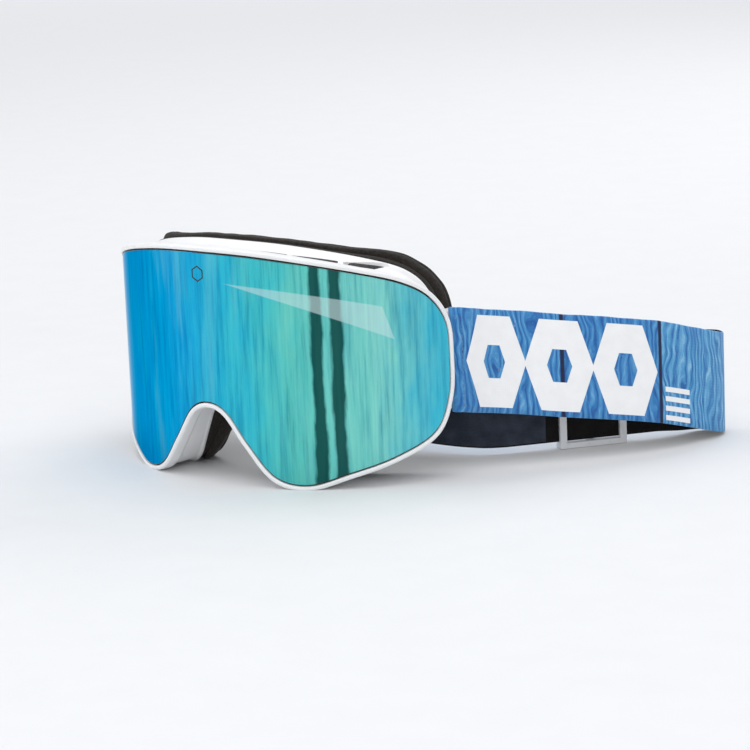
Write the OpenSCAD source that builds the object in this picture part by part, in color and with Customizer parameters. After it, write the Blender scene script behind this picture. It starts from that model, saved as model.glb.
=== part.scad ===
/* [Lens] */
// Radius of the lens, which is part of a cylinder with an upright axis
lens_r = 96.5; // [90:0.5:110]
// Thickness of the mirrored outer lens
outer_lens_t = 1.8; // [1.2:0.1:2.2]
// Thickness of the air gap between the two lenses
lens_gap = 2.8; // [2:0.1:3.2]
// Thickness of the inner lens
inner_lens_t = 0.8; // [0.6:0.1:1]

/* [Frame] */
// Width of the white rim around the lens
rim_w = 2.3; // [1.8:0.1:2.8]
// Distance from the lens to the face foam at the nose line
frame_depth = 24; // [22:1:28]
// Radius of the face curve that the foam follows
face_r = 105; // [100:1:115]
// Width of the rear edge as a share of the width of the lens
rear_ratio = 0.885; // [0.87:0.005:0.9]
// How far the rear edge steps forward over the nose, where thick foam fills the room
nose_notch = 11; // [6:1:11]

/* [Face foam] */
// How far the soft foam stands out above the frame along the brow
brow_rise = 1.1; // [0.5:0.1:1.5]
// Extra height of the foam pads on both sides of the brow
brow_pads = 1.9; // [1:0.1:2.2]
// Thickness of the firm foam next to the frame
base_foam_t = 4.5; // [3:0.5:6]
// Thickness of the soft foam in the middle
middle_foam_t = 4.5; // [3:0.5:6]
// Thickness of the fleece that touches the skin
fleece_t = 2; // [1:0.5:3]

/* [Strap] */
// Width of the elastic band
strap_w = 44; // [40:1:45]
// Thickness of the elastic band
strap_t = 1.5; // [1.2:0.1:1.8]
// Diameter of the pins that the strap clips turn on
pin_d = 2.4; // [2:0.1:2.6]
// Running clearance around a pin, measured on the radius
pin_play = 0.05; // [0.03:0.01:0.08]

/* [Hidden] */
$fn = 48;

// The whole part is built about the nose, then moved so that the origin is
// the middle of its footprint.
nose_x = -26.53;
nose_y = -89.63;

// Right half of the lens outline, from the middle of the top edge to the
// middle of the nose arch: distance around the cylinder, then height.
half_outline = [
    [0, 97.6], [23, 96.8], [46, 93.9], [68, 89.6], [86, 84.6], [98, 77.5], [105, 66.5],
    [106.2, 52], [105.4, 36], [99, 21.5], [82, 12.6], [62, 6.4], [45, 1.8], [31, 5],
    [19.5, 18], [9.5, 31], [0, 34.6]
];
outline_steps = 4;

function catmull(a, b, c, d, t) =
    0.5 * ((2 * b) + (c - a) * t + (2 * a - 5 * b + 4 * c - d) * t * t
    + (3 * b - a - 3 * c + d) * t * t * t);

// A smooth line through open points, with its end directions given by extra points.
function smooth_open(pts, steps) = [
    for (i = [1:len(pts) - 3], k = [0:steps - 1])
        catmull(pts[i - 1], pts[i], pts[i + 1], pts[i + 2], k / steps)
];

mirrored_half = [for (i = [len(half_outline) - 2:-1:1]) [-half_outline[i][0], half_outline[i][1]]];
outline_corners = concat(half_outline, mirrored_half);
corner_count = len(outline_corners);
function corner(i) = outline_corners[(i + corner_count) % corner_count];
outline = [
    for (i = [0:corner_count - 1], k = [0:outline_steps - 1])
        catmull(corner(i - 1), corner(i), corner(i + 1), corner(i + 2), k / outline_steps)
];
count = len(outline);
function wrap(i) = (i + count) % count;
function outward(i) =
    let (step = outline[wrap(i + 1)] - outline[wrap(i - 1)])
    [-step[1], step[0]] / norm(step);
function grown(i, by) = outline[i] + by * outward(i);

// A point of the lens side: it lies "by" outside the lens outline and "deep" behind the lens.
function lens_point(i, by, deep) =
    let (p = grown(i, by), turn = p[0] / lens_r * 180 / PI, r = lens_r - deep)
    [r * sin(turn), lens_r - r * cos(turn), max(0, p[1])];

// A point of the face side: "by" outside the rear outline and "ahead" of the face curve.
brow_dip = 0.5;
brow_arch = 2.9;
rear_half_w = 76;
function upper_share(z) = min(1, max(0, (z - 55) / 30));
function rear_outline(i) =
    let (p = outline[i], x = lens_r * sin(p[0] / lens_r * 180 / PI) * rear_ratio)
    [x, p[1] + upper_share(p[1]) * (brow_arch * pow(x / rear_half_w, 2) - brow_dip)];
function rear_outward(i) =
    let (step = rear_outline(wrap(i + 1)) - rear_outline(wrap(i - 1)))
    [-step[1], step[0]] / norm(step);
function face_y(x) = frame_depth + face_r - sqrt(face_r * face_r - x * x);
function face_point(i, by, ahead) =
    let (p = rear_outline(i) + by * rear_outward(i))
    [p[0], face_y(p[0]) - ahead, max(0, p[1])];

// How far the rear edge steps forward at a place on the outline: most over the nose.
nose_step = (len(half_outline) - 1) * outline_steps;
notch_steps = 17;
function nose_share(i) =
    let (off = min(notch_steps, abs(i - nose_step)))
    pow(cos(90 * off / notch_steps), 1.5);
function notched(i, by, ahead) = face_point(i, by, ahead + nose_notch * nose_share(i));

// How far the foam stands out beyond its own outline: only along the brow.
pad_step = 13;
pad_spread = 3;
function brow(i) =
    let (off = min(i, count - i))
    upper_share(rear_outline(i)[1]) * (brow_rise + brow_pads * exp(-pow((off - pad_step) / pad_spread, 2)));

// A closed band around the outline: sections is one list of points per outline step.
module band(sections) {
    n = len(sections);
    m = len(sections[0]);
    points = [for (s = sections, p = s) p];
    faces = [
        for (i = [0:n - 1], j = [0:m - 1])
            let (a = i * m + j, b = i * m + (j + 1) % m)
            let (c = ((i + 1) % n) * m + (j + 1) % m, d = ((i + 1) % n) * m + j)
            each [[a, b, c], [a, c, d]]
    ];
    polyhedron(points, faces, convexity = 8);
}

// An open strip of solid: sections as above, with both ends capped by a fan.
module strip(sections) {
    n = len(sections);
    m = len(sections[0]);
    points = [for (s = sections, p = s) p];
    sides = [
        for (i = [0:n - 2], j = [0:m - 1])
            let (a = i * m + j, b = i * m + (j + 1) % m, c = (i + 1) * m + (j + 1) % m)
            each [[a, b, c], [a, c, (i + 1) * m + j]]
    ];
    first_end = [for (j = [1:m - 2]) [0, j + 1, j]];
    last_end = [for (j = [1:m - 2]) [(n - 1) * m, (n - 1) * m + j, (n - 1) * m + j + 1]];
    polyhedron(points, concat(sides, first_end, last_end), convexity = 8);
}

module place() translate([nose_x, nose_y, 0]) children();

// A pane bounded by the outline, between two depths behind the front of the lens.
// It is a strip of upright slices, and the outline gives each slice its two ends.
module pane(by, near, far) {
    upper_edge = [for (i = [0:widest_step]) grown(i, by)];
    lower_edge = [for (i = [count / 2:-1:widest_step]) grown(i, by)];
    reach = grown(widest_step, by)[0] * pane_reach;
    strip([
        for (k = [-pane_slices:pane_slices])
            let (s = reach * sin(90 * k / pane_slices), turn = s / lens_r * 180 / PI)
            let (top = lookup(abs(s), upper_edge), low = lookup(abs(s), lower_edge))
            [
                pane_point(turn, near, low), pane_point(turn, near, top),
                pane_point(turn, far, top), pane_point(turn, far, low)
            ]
    ]);
}
pane_slices = 34;
pane_reach = 0.9995;
widest_step = 7 * outline_steps;
function pane_point(turn, deep, z) =
    [(lens_r - deep) * sin(turn), lens_r - (lens_r - deep) * cos(turn), z];

// Inward draft beside the nose arch, so that a ring can leave the frame straight forwards.
function draft(i, deep) =
    let (p = outline[i])
    deep * abs(sin(p[0] / lens_r * 180 / PI)) * max(0, -sign(p[0]) * outward(i)[0]);

// A ring with a four-sided section that follows the lens.
module lens_ring(outer, inner, near, far) {
    band([
        for (i = [0:count - 1])
            [
                lens_point(i, outer - draft(i, near), near), lens_point(i, outer - draft(i, far), far),
                lens_point(i, inner, far), lens_point(i, inner, near)
            ]
    ]);
}

// A ring with a four-sided section that follows the face. Its outer side stands out along
// the brow by a share of the rise, and its front can follow the notch over the nose.
module face_ring(outer, inner, near, far, rise, notch) {
    band([
        for (i = [0:count - 1])
            let (edge = outer + rise * brow(i), front = notch * nose_notch * nose_share(i) - near)
            [
                face_point(i, edge, front), face_point(i, edge, -far),
                face_point(i, inner, -far), face_point(i, inner, front)
            ]
    ]);
}

// Lens unit: two panes with a foam seal, on a carrier that holds the magnets.
gap_back = outer_lens_t + lens_gap;
inner_back = gap_back + inner_lens_t;
carrier_back = 6.4;
carrier_w = 3.6;
carrier_out = -0.2;
touch = 0.02;

module outer_lens() { color("deepskyblue") place() pane(0, 0, outer_lens_t); }
module lens_seal() {
    color("dimgray") place()
        lens_ring(-carrier_w - 0.8, -carrier_w - 3.4, outer_lens_t + 2 * touch, gap_back - 2 * touch);
}
module inner_lens() { color("lightblue") place() pane(-carrier_w - 0.8, gap_back, inner_back); }
module lens_carrier() {
    color([0.1, 0.1, 0.12]) place() difference() {
        lens_ring(carrier_out, -carrier_w, outer_lens_t + touch, carrier_back);
        at_magnets(carrier_back - magnet_t / 2) magnet_block(magnet_t + touch);
    }
}

// Magnets: six pairs around the rim, one of each pair in the carrier and one in the frame.
magnet_l = 9;
magnet_w = 2;
magnet_t = 1.6;
magnet_steps = [8, 20, 44];
frame_step = 6.7;
module magnet_block(t) { cube([magnet_l, t, magnet_w], center = true); }
module at_magnets(deep) {
    for (k = magnet_steps, side = [-1, 1]) {
        i = wrap(side * k);
        here = grown(i, (carrier_out - carrier_w) / 2);
        slope = atan2(outward(i)[0], outward(i)[1]);
        turn = here[0] / lens_r * 180 / PI;
        translate([0, lens_r, 0]) rotate([0, 0, turn])
            translate([0, -(lens_r - deep), here[1]]) rotate([0, slope, 0]) children();
    }
}
module carrier_magnets() {
    color("silver") place() at_magnets(carrier_back - magnet_t / 2) magnet_block(magnet_t - touch);
}
module frame_magnets() {
    color("silver") place() at_magnets(frame_step + magnet_t / 2) magnet_block(magnet_t - touch);
}

// Main frame: one flexible ring. The section runs from the rim around the lens,
// over a waist with vents, to the rear edge that carries the foam, and back inside.
rim_out = rim_w;
lip = 0.5;
waist_in = 1.6;
function waist(i) = waist_in * (1 - pow(abs(lens_point(i, 0, 0)[0]) / 88, 4)) * (1 - nose_share(i));
module main_frame() {
    color("white") place() difference() {
        band([
            for (i = [0:count - 1])
                [
                    lens_point(i, 0.35, -lip), lens_point(i, rim_out - 0.5, -lip),
                    lens_point(i, rim_out, 0), lens_point(i, rim_out, 4.6),
                    lens_point(i, rim_out - 0.5 - waist(i), 5.6 + waist(i)),
                    notched(i, 1.5 - waist(i), 2 + 2 * waist(i)),
                    notched(i, 2, 1.6), notched(i, 2, 0.4), notched(i, 1.6, 0),
                    notched(i, -9, 0), notched(i, -9, 1.8),
                    notched(i, -1.5 - waist(i), 2.6 + waist(i)),
                    lens_point(i, -5.6, frame_step + 2.4), lens_point(i, -5.6, frame_step),
                    lens_point(i, 0.35, frame_step)
                ]
        ]);
        at_magnets(frame_step + magnet_t / 2) magnet_block(magnet_t + touch);
        place_vents(top_vents, 95) cube([vent_l, vent_w, vent_cut], center = true);
        place_vents(low_vents, 7) cube([low_vent_l, low_vent_w, vent_cut], center = true);
    }
}

// Vent slots through the top of the frame, and shorter ones through its lower edges.
vent_l = 19;
vent_w = 4.6;
low_vent_l = 9;
low_vent_w = 2.6;
vent_cut = 12;
top_vents = [-44, -29.5, -15, 15, 29.5, 44];
low_vents = [-46, -38, 38, 46];
vent_ahead = 12.5;
module place_vents(turns, z) {
    for (turn = turns)
        translate([0, lens_r, z]) rotate([0, 0, turn]) translate([0, vent_ahead - lens_r, 0]) children();
}

// Thin open foam behind the vents, "by" inside the outline.
vent_foam_t = 0.8;
vent_foam_near = 9.8;
vent_foam_far = 15;
module vent_foam(from, to, by) {
    color([0.15, 0.15, 0.16]) place()
        strip([
            for (k = [from:to])
                let (i = wrap(k))
                [
                    lens_point(i, -by, vent_foam_near), lens_point(i, -by, vent_foam_far),
                    lens_point(i, -by - vent_foam_t, vent_foam_far),
                    lens_point(i, -by - vent_foam_t, vent_foam_near)
                ]
        ]);
}
module vent_foam_top() { vent_foam(-17, 17, 8.4); }
module vent_foam_left() { vent_foam(-50, -42, 6.8); }
module vent_foam_right() { vent_foam(42, 50, 6.8); }

// Face foam in three layers, each a closed ring on the face curve.
base_end = base_foam_t;
middle_end = base_end + middle_foam_t;
fleece_end = middle_end + fleece_t;
foam_gap = 0.15;
base_gap = 0.45;
module base_foam() {
    color([0.2, 0.2, 0.2]) place() face_ring(0.4, -10, base_gap, base_end, 0.5, 1);
}
module middle_foam() {
    color([0.16, 0.16, 0.16]) place()
        face_ring(1, -10.8, base_end + foam_gap, middle_end, 1, 0);
}
module face_fleece() {
    color([0.1, 0.1, 0.1]) place()
        face_ring(0.7, -10.8, middle_end + foam_gap, fleece_end, 1, 0);
}

// Soft lip of foam that reaches into the nose arch.
flap_foot = 1.2;
flap_reach = 6.5;
flap_steps = 13;
flap_near = 1;
flap_far = 3.6;
module nose_flap() {
    color([0.09, 0.09, 0.09]) place()
        strip([
            for (k = [-flap_steps:flap_steps])
                let (i = nose_step + k, share = cos(90 * k / (flap_steps + 1)))
                let (reach = flap_foot + flap_reach * pow(share, 0.7))
                [
                    face_point(i, reach, -flap_near), face_point(i, reach, -flap_far),
                    face_point(i, 0.4 + touch, -flap_far - 0.4),
                    face_point(i, 0.4 + touch, -flap_near + 0.6)
                ]
        ]);
}

// Strap fixings: a bracket on each side of the frame, with an upright pin.
pin_x = 84.8;
pin_y = 60;
pin_z = 49.3;
lug_in = 17.4;
lug_out = 20.4;
lug_r = 2.6;
foot_x = 78.4;
foot_t = 2.2;
foot_w = 6.6;
pin_r = pin_d / 2;
press = 0.01;
through = 120;
module bracket() {
    lug_t = lug_out - lug_in;
    difference() {
        union() {
            for (low = [pin_z - lug_out, pin_z + lug_in])
                translate([foot_x, pin_y - lug_r, low]) {
                    cube([pin_x - foot_x, 2 * lug_r, lug_t]);
                    translate([pin_x - foot_x, lug_r, 0]) cylinder(r = lug_r, h = lug_t);
                }
            translate([foot_x, pin_y - lug_r, pin_z - lug_out]) cube([foot_t, foot_w, 2 * lug_out]);
        }
        translate([pin_x, pin_y, 0]) cylinder(r = pin_r + press, h = through);
    }
}
module strap_bracket_right() { color("white") place() bracket(); }
module strap_bracket_left() { color("white") place() mirror([1, 0, 0]) bracket(); }
module pin() { translate([pin_x, pin_y, pin_z - lug_out]) cylinder(r = pin_r, h = 2 * lug_out); }
module strap_pin_right() { color("silver") place() pin(); }
module strap_pin_left() { color("silver") place() mirror([1, 0, 0]) pin(); }

// The clip is a sleeve around the pin with a plate that the strap is sewn to.
clip_h = 34;
clip_r = 2.5;
plate_l = 15;
plate_t = 1.7;
module clip() {
    difference() {
        translate([pin_x, pin_y, pin_z - clip_h / 2]) union() {
            cylinder(r = clip_r, h = clip_h);
            translate([clip_r - plate_t, 0, 0]) cube([plate_t, plate_l, clip_h]);
        }
        translate([pin_x, pin_y, 0]) cylinder(r = pin_r + pin_play, h = through);
    }
}
module strap_clip_right() { color([0.12, 0.13, 0.16]) place() clip(); }
module strap_clip_left() { color([0.12, 0.13, 0.16]) place() mirror([1, 0, 0]) clip(); }

// The strap is one flat band. Its centre line runs from the right clip to the
// hairpin on the ground, along a straight stretch for the slider, and back to
// the left clip: across, back, and the height of the middle of the band.
strap_start = [88.3, 58.5, 49.3];
strap_stop = [-88.3, 58.5, 49.3];
near_route = [
    [87.2, 46, 50.5], strap_start, [91, 73, 46.6], [98.5, 86.5, 44], [110.3, 98.5, 41.6],
    [123.5, 115.5, 38.4], [134.6, 134, 34.4], [140.3, 150.5, 29.6], [142.9, 164, 25.4],
    [142, 174, 23], [136, 179, 22.6], [129.5, 174, 22.9], [126, 164, 23.9]
];
straight_start = [120.5, 154, 25];
straight_l = 58;
straight_dir = [-0.6, -0.8, 0];
straight_end = straight_start + straight_l * straight_dir;
far_route = [
    [72, 93.5, 25.1], [48, 86.5, 26.3], [20, 84, 29], [-10, 84.5, 32.8], [-40, 87, 37.3],
    [-67, 88.8, 41.6], [-84.6, 81, 45.2], [-89.9, 69.5, 47.8], strap_stop, [-87, 48, 50.5]
];
strap_steps = 4;
lead = 10;
near_line = smooth_open(
    concat(near_route, [straight_start, straight_start + lead * straight_dir]), strap_steps);
far_line = smooth_open(
    concat([straight_end - lead * straight_dir, straight_end], far_route), strap_steps);
strap_line = concat(
    near_line, [straight_start, straight_end], [for (i = [1:len(far_line) - 1]) far_line[i]], [strap_stop]);
right_end = 3 * strap_steps;
left_end = len(strap_line) - 1 - 3 * strap_steps;

function strap_right_hand(i) =
    let (a = strap_line[max(0, i - 1)], b = strap_line[min(len(strap_line) - 1, i + 1)], d = b - a)
    [d[1], -d[0], 0] / norm([d[0], d[1]]);
function strap_section(i, low, high, out, in) =
    let (c = strap_line[i], n = strap_right_hand(i))
    [
        c + out * n + [0, 0, low], c + out * n + [0, 0, high],
        c + in * n + [0, 0, high], c + in * n + [0, 0, low]
    ];
module strap_run(from, to) {
    strip([
        for (i = [from:to]) strap_section(i, -strap_w / 2, strap_w / 2, strap_t / 2, -strap_t / 2)
    ]);
}
module strap_right() { color("steelblue") place() strap_run(0, right_end); }
module strap_back() { color("steelblue") place() strap_run(right_end, left_end); }
module strap_left() { color("steelblue") place() strap_run(left_end, len(strap_line) - 1); }

// The tail is the folded-back end of the band, flat on its inner side.
tail_first = len(near_line) + 1;
tail_last = tail_first + 14;
tail_t = 1.3;
tail_gap = 0.05;
tail_lead = 7;
tail_margin = 1;
module strap_tail() {
    out = -strap_t / 2 - tail_gap;
    half = strap_w / 2 - tail_margin;
    bend = strap_section(tail_first, -half, half, out, out - tail_t);
    first = [for (p = bend) p - tail_lead * straight_dir];
    color([0.16, 0.18, 0.25]) place()
        strip(concat([first], [
            for (i = [tail_first:tail_last]) strap_section(i, -half, half, out, out - tail_t)
        ]));
}

// The slider: two bars on the inner side of the band, one on the outer side,
// joined above and below the band.
slider_at = 29.5;
slider_l = 30;
bar_w = 3;
bar_t = 1.8;
slider_gap = 0.35;
rail_h = 2.4;
module strap_slider() {
    middle = straight_start + slider_at * straight_dir;
    half_h = strap_w / 2 + slider_gap;
    depth = strap_t / 2 + slider_gap + bar_t;
    color("white") place() translate(middle) rotate([0, 0, atan2(straight_dir[1], straight_dir[0])])
        union() {
            for (up = [half_h, -half_h - rail_h])
                translate([-slider_l / 2, -depth, up]) cube([slider_l, 2 * depth, rail_h]);
            for (end = [-slider_l / 2, slider_l / 2 - bar_w])
                translate([end, depth - bar_t, -half_h - rail_h / 2])
                    cube([bar_w, bar_t, 2 * half_h + rail_h]);
            translate([-bar_w / 2, -depth, -half_h - rail_h / 2])
                cube([bar_w, bar_t, 2 * half_h + rail_h]);
        }
}

outer_lens();
lens_seal();
inner_lens();
lens_carrier();
carrier_magnets();
main_frame();
frame_magnets();
vent_foam_top();
vent_foam_left();
vent_foam_right();
base_foam();
middle_foam();
face_fleece();
nose_flap();
strap_bracket_left();
strap_bracket_right();
strap_pin_left();
strap_pin_right();
strap_clip_left();
strap_clip_right();
strap_left();
strap_right();
strap_back();
strap_slider();
strap_tail();
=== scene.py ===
import bpy
import bmesh
import math
from mathutils import Vector, Matrix, noise


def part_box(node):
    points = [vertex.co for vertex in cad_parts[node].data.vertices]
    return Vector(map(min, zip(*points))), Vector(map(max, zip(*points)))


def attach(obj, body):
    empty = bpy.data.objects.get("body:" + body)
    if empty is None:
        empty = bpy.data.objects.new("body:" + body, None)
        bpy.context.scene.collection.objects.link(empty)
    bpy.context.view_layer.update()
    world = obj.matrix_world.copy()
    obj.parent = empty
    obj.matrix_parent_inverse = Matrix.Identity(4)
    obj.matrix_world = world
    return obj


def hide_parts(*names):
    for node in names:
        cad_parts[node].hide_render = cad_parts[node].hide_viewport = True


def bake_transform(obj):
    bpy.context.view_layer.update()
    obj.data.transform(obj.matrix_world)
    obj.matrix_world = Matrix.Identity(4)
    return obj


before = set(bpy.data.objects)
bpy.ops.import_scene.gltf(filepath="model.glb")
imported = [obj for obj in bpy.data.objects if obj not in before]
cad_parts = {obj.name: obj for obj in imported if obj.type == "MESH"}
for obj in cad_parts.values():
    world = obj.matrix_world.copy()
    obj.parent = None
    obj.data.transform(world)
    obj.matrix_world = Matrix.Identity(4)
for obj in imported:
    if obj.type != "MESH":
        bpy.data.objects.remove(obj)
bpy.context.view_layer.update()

MM = 0.001

# ---------------------------------------------------------------- driving sizes, in millimetres
LENS_R = 96.5
RIM_W = 2.3
# How far the rim stands in front of the lens
LIP = 0.5
FRAME_DEPTH = 24.0
FACE_R = 105.0
REAR_RATIO = 0.885
REAR_HALF_W = 76.0
NOSE_NOTCH = 11.0
NOTCH_STEPS = 17
WAIST_DEEP = 1.6
WAIST_HALF_W = 88.0
BROW_ARCH = 2.9
BROW_DIP = 0.5
BROW_RISE = 1.1
BROW_PADS = 1.9
PAD_STEP = 13
PAD_SPREAD = 3
STRAP_W = 44.0
STRAP_T = 1.5

# The nose line in the row frame, read from the lens.
lens_low, lens_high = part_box("outer_lens")
NOSE_X = (lens_low[0] + lens_high[0]) / 2 / MM
NOSE_Y = lens_low[1] / MM


def metres(p):
    """A point about the nose, in millimetres, as a point of the row frame in metres."""
    return Vector(((p[0] + NOSE_X) * MM, (p[1] + NOSE_Y) * MM, p[2] * MM))


# ---------------------------------------------------------------- camera, lights and world
def look_from(place, yaw, pitch, roll, focal):
    data = bpy.data.cameras.new("camera")
    data.sensor_width = 36
    data.lens = focal
    data.clip_start = 0.05
    data.clip_end = 50
    cam = bpy.data.objects.new("camera", data)
    bpy.context.scene.collection.objects.link(cam)
    turn = Matrix.Rotation(math.radians(yaw), 4, "Z") @ Matrix.Rotation(math.radians(90 + pitch), 4, "X")
    cam.matrix_world = Matrix.Translation(metres(place)) @ turn @ Matrix.Rotation(math.radians(roll), 4, "Z")
    bpy.context.scene.camera = cam


look_from(place=(835.7, -961.9, 312.9), yaw=37.85, pitch=-11.97, roll=-2.44, focal=151.1)


def area_light(name, place, aim, size, power, colour=(1, 1, 1)):
    data = bpy.data.lights.new(name, "AREA")
    data.shape = "RECTANGLE"
    data.size, data.size_y = size
    data.energy = power
    data.color = colour
    lamp = bpy.data.objects.new(name, data)
    lamp.location = place
    lamp.rotation_euler = (Vector(aim) - Vector(place)).to_track_quat("-Z", "Y").to_euler()
    bpy.context.scene.collection.objects.link(lamp)


area_light("sky_panel", (0.1, -0.2, 1.5), (0, 0, 0), (2.2, 2.2), 17)
area_light("front_panel", (0.9, -1.3, 0.8), (0, 0, 0.05), (1.4, 0.9), 6)
area_light("left_panel", (-1.2, -0.7, 0.7), (0, 0, 0.05), (0.9, 1.2), 5)
area_light("back_panel", (0.2, 1.3, 0.9), (0, 0, 0.05), (1.6, 0.8), 6)

world = bpy.data.worlds.new("studio")
bpy.context.scene.world = world
world.use_nodes = True
background = world.node_tree.nodes["Background"]
background.inputs["Color"].default_value = (0.93, 0.95, 1.0, 1)
background.inputs["Strength"].default_value = 0.56
bpy.context.scene.view_settings.view_transform = "Standard"


# ---------------------------------------------------------------- material helpers
class Paint:
    """Builds one procedural material around a Principled shader."""

    def __init__(self, name, **sockets):
        self.material = bpy.data.materials.new(name)
        self.material.use_nodes = True
        self.nodes = self.material.node_tree.nodes
        self.links = self.material.node_tree.links
        self.shader = self.nodes["Principled BSDF"]
        for key, value in sockets.items():
            self.shader.inputs[key.replace("_", " ")].default_value = value

    def add(self, kind, **settings):
        node = self.nodes.new(kind)
        for key, value in settings.items():
            setattr(node, key, value)
        return node

    def link(self, source, target):
        self.links.new(source, target)

    def position(self, scale=(1, 1, 1)):
        """Object coordinates in metres, stretched by scale."""
        coords = self.add("ShaderNodeTexCoord")
        mapping = self.add("ShaderNodeMapping")
        mapping.inputs["Scale"].default_value = scale
        self.link(coords.outputs["Object"], mapping.inputs["Vector"])
        return mapping.outputs["Vector"]

    def attribute(self, name, scale=(1, 1, 1)):
        """A point attribute of the mesh, stretched by scale."""
        attribute = self.add("ShaderNodeAttribute", attribute_name=name)
        mapping = self.add("ShaderNodeMapping")
        mapping.inputs["Scale"].default_value = scale
        self.link(attribute.outputs["Vector"], mapping.inputs["Vector"])
        return mapping.outputs["Vector"]

    def noise(self, vector, scale, detail, roughness=0.55):
        node = self.add("ShaderNodeTexNoise")
        node.inputs["Scale"].default_value = scale
        node.inputs["Detail"].default_value = detail
        node.inputs["Roughness"].default_value = roughness
        self.link(vector, node.inputs["Vector"])
        return node.outputs["Fac"]

    def math(self, operation, a, b=None, clamp=False):
        node = self.add("ShaderNodeMath", operation=operation, use_clamp=clamp)
        for socket, value in zip(node.inputs, (a, b)):
            if value is None:
                continue
            if isinstance(value, (int, float)):
                socket.default_value = value
            else:
                self.link(value, socket)
        return node.outputs[0]

    def ramp(self, factor, stops):
        """Colours between stops of (place, colour)."""
        node = self.add("ShaderNodeValToRGB")
        elements = node.color_ramp.elements
        while len(elements) < len(stops):
            elements.new(0.5)
        for element, (place, colour) in zip(elements, stops):
            element.position = place
            element.color = (*colour, 1)
        self.link(factor, node.inputs["Fac"])
        return node.outputs["Color"]

    def mix(self, factor, a, b, blend="MIX"):
        node = self.add("ShaderNodeMix", data_type="RGBA", blend_type=blend)
        for socket, value in zip((node.inputs[0], node.inputs[6], node.inputs[7]), (factor, a, b)):
            if isinstance(value, (int, float)):
                socket.default_value = value
            elif isinstance(value, tuple):
                socket.default_value = (*value, 1)
            else:
                self.link(value, socket)
        return node.outputs[2]

    def bump(self, height, strength, distance):
        node = self.add("ShaderNodeBump")
        node.inputs["Strength"].default_value = strength
        node.inputs["Distance"].default_value = distance
        self.link(height, node.inputs["Height"])
        self.link(node.outputs["Normal"], self.shader.inputs["Normal"])

    def set(self, socket, source):
        self.link(source, self.shader.inputs[socket])


def moulded(name, colour, roughness, grain=900, depth=0.00004, soil=0.06):
    """Moulded plastic: fine spark texture, slight tone changes and uneven gloss."""
    paint = Paint(name, Roughness=roughness)
    place = paint.position()
    cloud = paint.noise(place, 45, 5)
    dark = tuple(c * (1 - soil) for c in colour)
    paint.set("Base Color", paint.ramp(cloud, [(0.3, dark), (0.7, colour)]))
    gloss = paint.ramp(paint.noise(place, 130, 3), [
        (0.3, (roughness - 0.06,) * 3), (0.7, (roughness + 0.07,) * 3)])
    paint.set("Roughness", gloss)
    paint.bump(paint.noise(place, grain, 3), 0.35, depth)
    return paint.material


def foam_paint(name, dark, light, cell=900, fuzz=0.4):
    """Open foam or fleece: small cells, soft fuzz and slow tone changes."""
    paint = Paint(name, Roughness=0.95, Sheen_Weight=fuzz, Sheen_Roughness=0.5)
    paint.shader.inputs["Sheen Tint"].default_value = (0.75, 0.68, 0.6, 1)
    place = paint.position()
    cells = paint.add("ShaderNodeTexVoronoi")
    cells.inputs["Scale"].default_value = cell
    paint.link(place, cells.inputs["Vector"])
    slow = paint.noise(place, 60, 4)
    cell_share = paint.math("MULTIPLY", cells.outputs["Distance"], 0.6)
    blend = paint.math("ADD", cell_share, paint.math("MULTIPLY", slow, 0.5))
    paint.set("Base Color", paint.ramp(blend, [(0.25, dark), (0.85, light)]))
    height = paint.math("ADD", cells.outputs["Distance"], paint.noise(place, 2600, 2))
    paint.bump(height, 0.8, 0.00025)
    return paint.material


def metal_paint(name, colour):
    """Drawn metal with fine scratches."""
    paint = Paint(name, Metallic=1.0, Roughness=0.28)
    place = paint.position((1, 1, 40))
    scratch = paint.noise(place, 220, 4)
    paint.set("Base Color", paint.ramp(scratch, [(0.3, tuple(c * 0.8 for c in colour)), (0.7, colour)]))
    paint.set("Roughness", paint.ramp(scratch, [(0.3, (0.2,) * 3), (0.7, (0.4,) * 3)]))
    return paint.material


# The painted reflection of a bright window on the lens, a pale wedge, in shares of the lens sheet: its tip,
# then the bend and the slopes of its upper and lower edges, and its slanting end.
WEDGE_TIP = (0.545, 0.3995)
WEDGE_BEND = 0.294
WEDGE_TOP_SLOPE = 0.049
WEDGE_LOW_SLOPE = 0.229
WEDGE_END = (0.867, 0.353)
WEDGE_END_SLANT = 0.33
WEDGE_SOFT = 0.0022


def window_reflection_mask(paint, across, up):
    """1 inside a pale curved wedge, a painted reflection of a bright window on the lens, and 0 outside it."""
    past = paint.math("SUBTRACT", across, WEDGE_TIP[0])
    bend = paint.math("MULTIPLY", paint.math("MULTIPLY", past, past), WEDGE_BEND)
    drop = paint.math("SUBTRACT", paint.math("SUBTRACT", WEDGE_TIP[1], up), bend)
    below_top = paint.math("SUBTRACT", drop, paint.math("MULTIPLY", past, WEDGE_TOP_SLOPE))
    above_low = paint.math("SUBTRACT", paint.math("MULTIPLY", past, WEDGE_LOW_SLOPE), drop)
    slant = paint.math("MULTIPLY", paint.math("SUBTRACT", WEDGE_END[1], up), WEDGE_END_SLANT)
    before_end = paint.math("SUBTRACT", paint.math("ADD", slant, WEDGE_END[0]), across)
    sides = [paint.math("DIVIDE", side, WEDGE_SOFT) for side in (below_top, above_low, before_end)]
    inside = paint.math("MINIMUM", paint.math("MINIMUM", sides[0], sides[1]), sides[2])
    return paint.ramp(inside, [(0.0, (0, 0, 0)), (1.0, (1, 1, 1))])


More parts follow.
